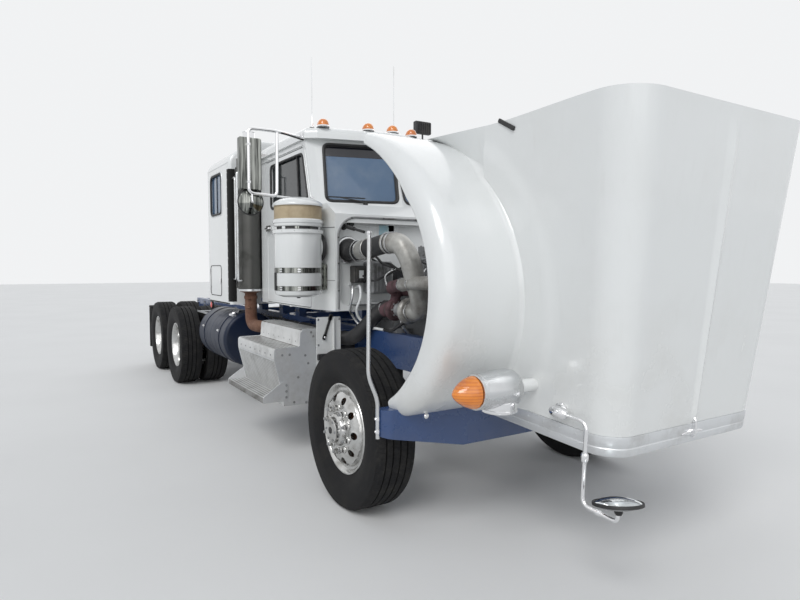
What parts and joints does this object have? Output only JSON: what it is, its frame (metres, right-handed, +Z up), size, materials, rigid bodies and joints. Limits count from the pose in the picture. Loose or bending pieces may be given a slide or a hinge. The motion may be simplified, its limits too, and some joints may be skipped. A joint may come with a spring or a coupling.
{
  "type": "semi truck tractor unit",
  "caption": "Long nose highway tractor with a sleeper, its hood tilted forward over the bumper and a fifth wheel behind for a trailer.",
  "frame": {"origin": "on the ground below the middle of the truck's bounding box", "axes": "+X forward, +Y to the truck's left, +Z up"},
  "size_m": [9.0206, 2.82, 3.4502],
  "materials": {
    "blue_paint": "glossy dark blue chassis enamel, dusty",
    "white_paint": "glossy off white enamel",
    "black_paint": "satin black chassis paint with road dirt",
    "bare_aluminium": "brushed bare aluminium, dull and scuffed",
    "polished_aluminium": "polished forged aluminium",
    "stainless": "stainless tube and sheet, softly brushed",
    "chrome": "bright chrome plate",
    "black_rubber": "matte black moulded rubber",
    "tyre_rubber": "road worn tyre rubber",
    "window_glass": "slightly tinted safety glass",
    "amber_lens": "clear amber moulded lens",
    "red_lens": "clear red moulded lens",
    "grey_casting": "grey painted castings, oily",
    "rusty_steel": "heat rusted steel and iron",
    "dark_steel": "dark perforated steel",
    "cab_trim": "grey moulded and cloth interior trim",
    "radiator_core": "dull finned core in a black frame"
  },
  "bodies": {
    "chassis": {"frame": "blue_paint", "bumper": "blue_paint", "fuel_tanks": "blue_paint", "grab_rails": "stainless", "front_axle": "black_paint", "drive_axles": "black_paint", "driveline": "grey_casting", "engine": "grey_casting", "turbo": "rusty_steel", "intake_ducts": "black_rubber", "charge_pipes": "bare_aluminium", "radiator": "radiator_core", "cab_shell": "white_paint", "cab_glass": "window_glass", "cab_interior": "cab_trim", "steering_wheel": "cab_trim", "sleeper_shell": "white_paint", "cab_boot": "black_rubber", "air_cleaners": "white_paint", "exhaust_stack": "stainless", "heat_guard": "dark_steel", "step_boxes": "bare_aluminium", "fifth_base": "black_paint", "deck_plate": "bare_aluminium", "mud_flaps": "black_rubber", "tail_lamps": "red_lens", "door_mirrors": "chrome", "roof_lamps": "amber_lens", "antennas": "stainless"},
    "hood": {"hood_shell": "white_paint", "hood_trim": "stainless", "grille": "chrome", "headlamps": "stainless", "turn_lamps": "amber_lens", "hood_mirror": "chrome"},
    "door_right": {"door_right": "white_paint", "door_glass_right": "window_glass"},
    "door_left": {"door_left": "white_paint", "door_glass_left": "window_glass"},
    "knuckle_right": {"knuckle_right": "black_paint"},
    "knuckle_left": {"knuckle_left": "black_paint"},
    "tie_rod": {"tie_rod": "black_paint"},
    "steer_wheel_right": {"steer_rim_right": "polished_aluminium", "steer_tyre_right": "tyre_rubber"},
    "steer_wheel_left": {"steer_rim_left": "polished_aluminium", "steer_tyre_left": "tyre_rubber"},
    "fifth_plate": {"fifth_plate": "black_paint"},
    "drive_wheels_fore_right": {"drive_rims_fore_right": "polished_aluminium", "drive_tyres_fore_right": "tyre_rubber"},
    "drive_wheels_fore_left": {"drive_rims_fore_left": "polished_aluminium", "drive_tyres_fore_left": "tyre_rubber"},
    "drive_wheels_aft_right": {"drive_rims_aft_right": "polished_aluminium", "drive_tyres_aft_right": "tyre_rubber"},
    "drive_wheels_aft_left": {"drive_rims_aft_left": "polished_aluminium", "drive_tyres_aft_left": "tyre_rubber"}
  },
  "joints": [
    {"name": "hood_tilt", "type": "hinge", "parent": "chassis", "child": "hood", "pos_m": [3.22, 0, 0.84], "axis": [0, -1, 0], "range_deg": [0, 93]},
    {"name": "door_right_swing", "type": "hinge", "parent": "chassis", "child": "door_right", "pos_m": [1.279, -0.787, 1.7], "axis": [0, 0, 1], "range_deg": [0, 65]},
    {"name": "door_left_swing", "type": "hinge", "parent": "chassis", "child": "door_left", "pos_m": [1.279, 0.787, 1.7], "axis": [0, 0, -1], "range_deg": [0, 65]},
    {"name": "steer_right", "type": "hinge", "parent": "chassis", "child": "knuckle_right", "pos_m": [2.6, -0.9, 0.518], "axis": [0, 0, 1], "range_deg": [-35, 35]},
    {"name": "steer_left", "type": "hinge", "parent": "chassis", "child": "knuckle_left", "pos_m": [2.6, 0.9, 0.518], "axis": [0, 0, 1], "range_deg": [-35, 35]},
    {"name": "tie_rod_swing", "type": "hinge", "parent": "knuckle_right", "child": "tie_rod", "pos_m": [2.4, -0.9, 0.389], "axis": [0, 0, 1], "range_deg": [-35, 35]},
    {"name": "spin_steer_right", "type": "hinge", "parent": "knuckle_right", "child": "steer_wheel_right", "pos_m": [2.6, -1.03, 0.518], "axis": [0, 1, 0], "continuous": true},
    {"name": "spin_steer_left", "type": "hinge", "parent": "knuckle_left", "child": "steer_wheel_left", "pos_m": [2.6, 1.03, 0.518], "axis": [0, 1, 0], "continuous": true},
    {"name": "fifth_wheel_rock", "type": "hinge", "parent": "chassis", "child": "fifth_plate", "pos_m": [-3.06, 0, 1.112], "axis": [0, 1, 0], "range_deg": [-10, 10]},
    {"name": "spin_fore_right", "type": "hinge", "parent": "chassis", "child": "drive_wheels_fore_right", "pos_m": [-2.42, -0.92, 0.518], "axis": [0, 1, 0], "continuous": true},
    {"name": "spin_fore_left", "type": "hinge", "parent": "chassis", "child": "drive_wheels_fore_left", "pos_m": [-2.42, 0.92, 0.518], "axis": [0, 1, 0], "continuous": true},
    {"name": "spin_aft_right", "type": "hinge", "parent": "chassis", "child": "drive_wheels_aft_right", "pos_m": [-3.74, -0.92, 0.518], "axis": [0, 1, 0], "continuous": true},
    {"name": "spin_aft_left", "type": "hinge", "parent": "chassis", "child": "drive_wheels_aft_left", "pos_m": [-3.74, 0.92, 0.518], "axis": [0, 1, 0], "continuous": true}
  ],
  "couplings": [
    {"joint": "steer_left", "follows": "steer_right", "ratio": 1},
    {"joint": "tie_rod_swing", "follows": "steer_right", "ratio": -1}
  ]
}
